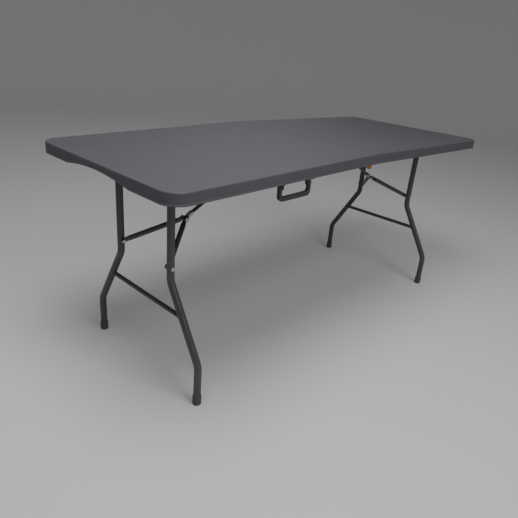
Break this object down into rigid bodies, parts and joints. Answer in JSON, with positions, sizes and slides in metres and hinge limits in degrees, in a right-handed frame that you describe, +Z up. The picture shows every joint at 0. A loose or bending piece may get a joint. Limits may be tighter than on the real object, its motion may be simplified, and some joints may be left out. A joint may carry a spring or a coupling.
{
  "type": "folding table",
  "caption": "Rectangular moulded plastic folding table: the top folds in half, and steel leg frames with V braces fold under it; swinging carry handle and sliding fold catch.",
  "frame": {"origin": "on the floor under the middle of the top", "axes": "+X along the length, with the handle on the -X half; +Y across, away from the handle's edge; +Z up"},
  "size_m": [1.8012, 0.73, 0.764],
  "materials": {
    "moulded_top": "fine moulded grain",
    "coated_steel": "powder coat",
    "zinc_plate": "zinc plate",
    "black_plastic": "moulded",
    "foot_plastic": "moulded",
    "orange_plastic": "moulded"
  },
  "bodies": {
    "left_top": {"top_left": "moulded_top", "top_screws_left": "zinc_plate", "rail_back_left": "coated_steel", "rail_front_left": "coated_steel", "fold_hinge_back_left": "coated_steel", "fold_hinge_front_left": "coated_steel", "pivot_clamp_back_left": "black_plastic", "pivot_clamp_front_left": "black_plastic", "strut_bracket_left": "coated_steel", "strut_pin_left": "zinc_plate", "handle_lugs": "black_plastic", "handle_pins": "black_plastic", "catch_housing": "black_plastic"},
    "right_top": {"top_right": "moulded_top", "top_screws_right": "zinc_plate", "rail_back_right": "coated_steel", "rail_front_right": "coated_steel", "fold_hinge_back_right": "coated_steel", "fold_hinge_front_right": "coated_steel", "pivot_clamp_back_right": "black_plastic", "pivot_clamp_front_right": "black_plastic", "strut_bracket_right": "coated_steel", "strut_pin_right": "zinc_plate", "fold_pin_back": "zinc_plate", "fold_pin_front": "zinc_plate", "catch_keeper": "coated_steel"},
    "left_legs": {"leg_back_left": "coated_steel", "leg_front_left": "coated_steel", "foot_back_left": "foot_plastic", "foot_front_left": "foot_plastic", "pivot_tube_left": "coated_steel", "crossbar_left": "coated_steel", "leg_rivets_left": "zinc_plate"},
    "left_brace_arms": {"brace_arm_back_left": "coated_steel", "brace_arm_front_left": "coated_steel", "apex_rivets_left": "zinc_plate"},
    "left_strut": {"strut_left": "coated_steel", "strut_washers_left": "zinc_plate"},
    "left_lock_ring": {"lock_ring_left": "zinc_plate"},
    "right_legs": {"leg_back_right": "coated_steel", "leg_front_right": "coated_steel", "foot_back_right": "foot_plastic", "foot_front_right": "foot_plastic", "pivot_tube_right": "coated_steel", "crossbar_right": "coated_steel", "leg_rivets_right": "zinc_plate"},
    "right_brace_arms": {"brace_arm_back_right": "coated_steel", "brace_arm_front_right": "coated_steel", "apex_rivets_right": "zinc_plate"},
    "right_strut": {"strut_right": "coated_steel", "strut_washers_right": "zinc_plate"},
    "right_lock_ring": {"lock_ring_right": "zinc_plate"},
    "handle": {"handle_grip": "black_plastic"},
    "catch": {"catch_bolt": "orange_plastic"}
  },
  "joints": [
    {"name": "top_fold", "type": "hinge", "parent": "left_top", "child": "right_top", "pos_m": [0, 0, 0.716], "axis": [0, 1, 0], "range_deg": [0, 80]},
    {"name": "left_leg_fold", "type": "hinge", "parent": "left_top", "child": "left_legs", "pos_m": [-0.74017, 0, 0.71908], "axis": [0, -1, 0], "range_deg": [0, 91]},
    {"name": "left_arm_fold", "type": "hinge", "parent": "left_legs", "child": "left_brace_arms", "pos_m": [-0.74017, 0, 0.43108], "axis": [0, -1, 0], "range_deg": [0, 57.11]},
    {"name": "left_strut_fold", "type": "hinge", "parent": "left_top", "child": "left_strut", "pos_m": [-0.17053, 0, 0.74503], "axis": [0, 1, 0], "range_deg": [0, 27.5]},
    {"name": "left_ring_slide", "type": "slide", "parent": "left_strut", "child": "left_lock_ring", "axis": [0.8758, 0, 0.4827], "range_m": [0, 0.06]},
    {"name": "right_leg_fold", "type": "hinge", "parent": "right_top", "child": "right_legs", "pos_m": [0.74017, 0, 0.71908], "axis": [0, 1, 0], "range_deg": [0, 91]},
    {"name": "right_arm_fold", "type": "hinge", "parent": "right_legs", "child": "right_brace_arms", "pos_m": [0.74017, 0, 0.43108], "axis": [0, 1, 0], "range_deg": [0, 57.11]},
    {"name": "right_strut_fold", "type": "hinge", "parent": "right_top", "child": "right_strut", "pos_m": [0.17053, 0, 0.74503], "axis": [0, -1, 0], "range_deg": [0, 27.5]},
    {"name": "right_ring_slide", "type": "slide", "parent": "right_strut", "child": "right_lock_ring", "axis": [-0.8758, 0, 0.4827], "range_m": [0, 0.06]},
    {"name": "handle_swing", "type": "hinge", "parent": "left_top", "child": "handle", "pos_m": [-0.44091, -0.356, 0.7068], "axis": [0.9998, 0, 0.0175], "range_deg": [-90, 80]},
    {"name": "catch_slide", "type": "slide", "parent": "left_top", "child": "catch", "axis": [-0.9998, 0, -0.0175], "range_m": [-0.014, 0]}
  ],
  "couplings": [
    {"joint": "left_arm_fold", "follows": "left_leg_fold", "ratio": 0.62744},
    {"joint": "left_strut_fold", "follows": "left_leg_fold", "ratio": 0.30211},
    {"joint": "right_arm_fold", "follows": "right_leg_fold", "ratio": 0.62744},
    {"joint": "right_strut_fold", "follows": "right_leg_fold", "ratio": 0.30211}
  ]
}
